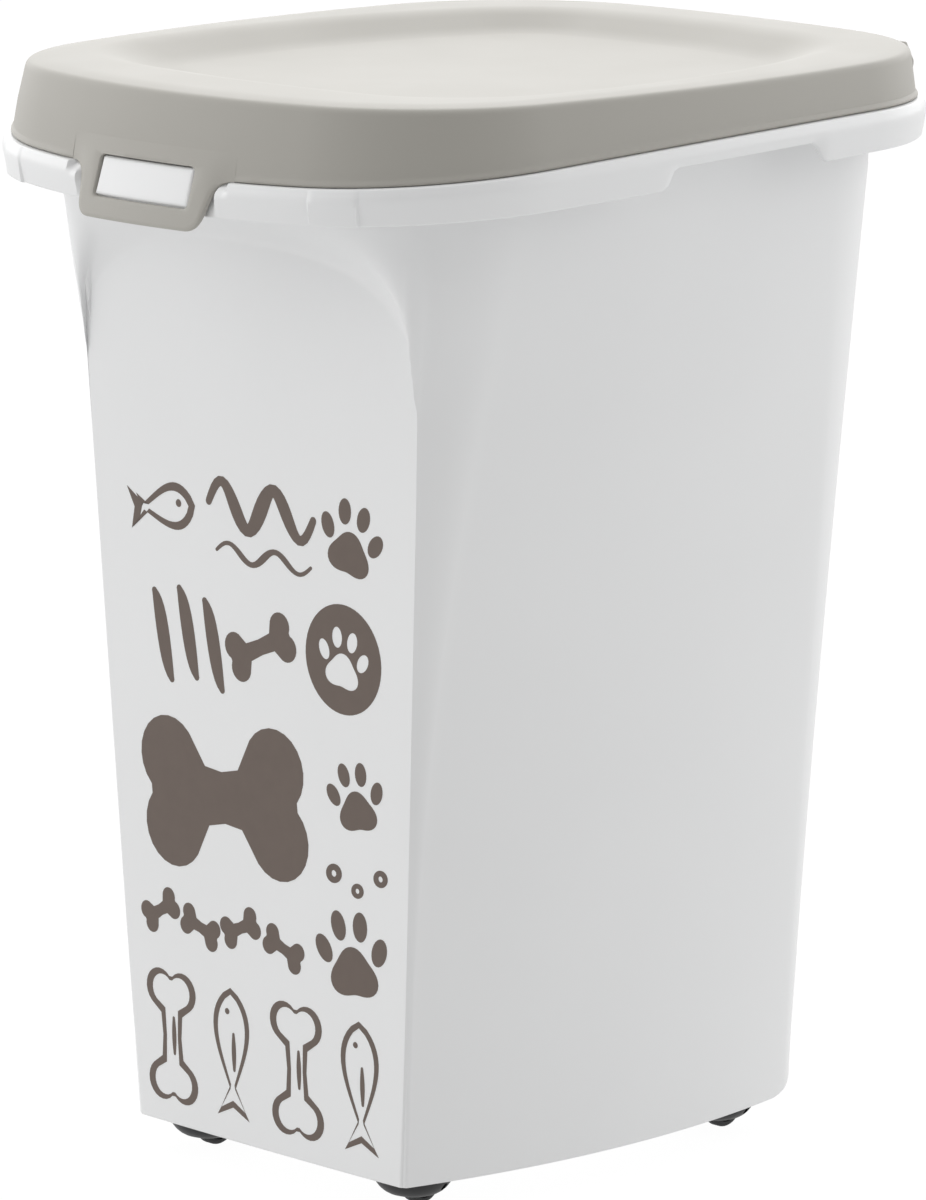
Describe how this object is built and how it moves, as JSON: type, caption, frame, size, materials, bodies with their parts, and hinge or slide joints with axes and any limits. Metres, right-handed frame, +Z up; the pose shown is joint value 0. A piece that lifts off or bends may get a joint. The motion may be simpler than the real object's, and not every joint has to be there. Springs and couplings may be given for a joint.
{
  "type": "pet food bin",
  "caption": "Tall tapered plastic bin for dry pet food on swivel castors, with a hinged lid, an under-lid seal and a front loop latch.",
  "frame": {"origin": "on the floor, under the middle of the bin's outer box", "axes": "+Z up, front of the bin towards -Y, lid hinge at the rear towards +Y"},
  "size_m": [0.3016, 0.3542, 0.4463],
  "materials": {
    "tub": "smooth white polypropylene, satin gloss",
    "lid": "warm grey polypropylene with a fine grain",
    "seal": "soft grey thermoplastic rubber",
    "castor": "black nylon",
    "steel": "bright drawn wire"
  },
  "bodies": {
    "bin": {"bin_body": "tub", "hinge_pin_left": "steel", "hinge_pin_right": "steel"},
    "lid": {"lid": "lid", "lid_seal": "seal"},
    "latch": {"latch_loop": "lid"},
    "castor_front_left": {"castor_front_left_cup": "castor", "castor_front_left_stem": "steel", "castor_front_left_axle": "steel"},
    "wheel_front_left": {"castor_front_left_wheel": "castor"},
    "castor_front_right": {"castor_front_right_cup": "castor", "castor_front_right_stem": "steel", "castor_front_right_axle": "steel"},
    "wheel_front_right": {"castor_front_right_wheel": "castor"},
    "castor_rear_left": {"castor_rear_left_cup": "castor", "castor_rear_left_stem": "steel", "castor_rear_left_axle": "steel"},
    "wheel_rear_left": {"castor_rear_left_wheel": "castor"},
    "castor_rear_right": {"castor_rear_right_cup": "castor", "castor_rear_right_stem": "steel", "castor_rear_right_axle": "steel"},
    "wheel_rear_right": {"castor_rear_right_wheel": "castor"}
  },
  "joints": [
    {"name": "lid_hinge", "type": "hinge", "parent": "bin", "child": "lid", "pos_m": [0, 0.1717, 0.4332], "axis": [-1, 0, 0], "range_deg": [0, 100]},
    {"name": "latch_flex", "type": "hinge", "parent": "lid", "child": "latch", "pos_m": [0, -0.16763, 0.425], "axis": [-1, 0, 0], "range_deg": [0, 35]},
    {"name": "castor_front_left_swivel", "type": "hinge", "parent": "bin", "child": "castor_front_left", "pos_m": [-0.06, -0.087, 0.022], "axis": [0, 0, 1], "continuous": true},
    {"name": "wheel_front_left_roll", "type": "hinge", "parent": "castor_front_left", "child": "wheel_front_left", "pos_m": [-0.06, -0.0835, 0.009], "axis": [1, 0, 0], "continuous": true},
    {"name": "castor_front_right_swivel", "type": "hinge", "parent": "bin", "child": "castor_front_right", "pos_m": [0.06, -0.087, 0.022], "axis": [0, 0, 1], "continuous": true},
    {"name": "wheel_front_right_roll", "type": "hinge", "parent": "castor_front_right", "child": "wheel_front_right", "pos_m": [0.06, -0.0835, 0.009], "axis": [1, 0, 0], "continuous": true},
    {"name": "castor_rear_left_swivel", "type": "hinge", "parent": "bin", "child": "castor_rear_left", "pos_m": [-0.066, 0.08, 0.022], "axis": [0, 0, 1], "continuous": true},
    {"name": "wheel_rear_left_roll", "type": "hinge", "parent": "castor_rear_left", "child": "wheel_rear_left", "pos_m": [-0.066, 0.0835, 0.009], "axis": [1, 0, 0], "continuous": true},
    {"name": "castor_rear_right_swivel", "type": "hinge", "parent": "bin", "child": "castor_rear_right", "pos_m": [0.066, 0.08, 0.022], "axis": [0, 0, 1], "continuous": true},
    {"name": "wheel_rear_right_roll", "type": "hinge", "parent": "castor_rear_right", "child": "wheel_rear_right", "pos_m": [0.066, 0.0835, 0.009], "axis": [1, 0, 0], "continuous": true}
  ]
}
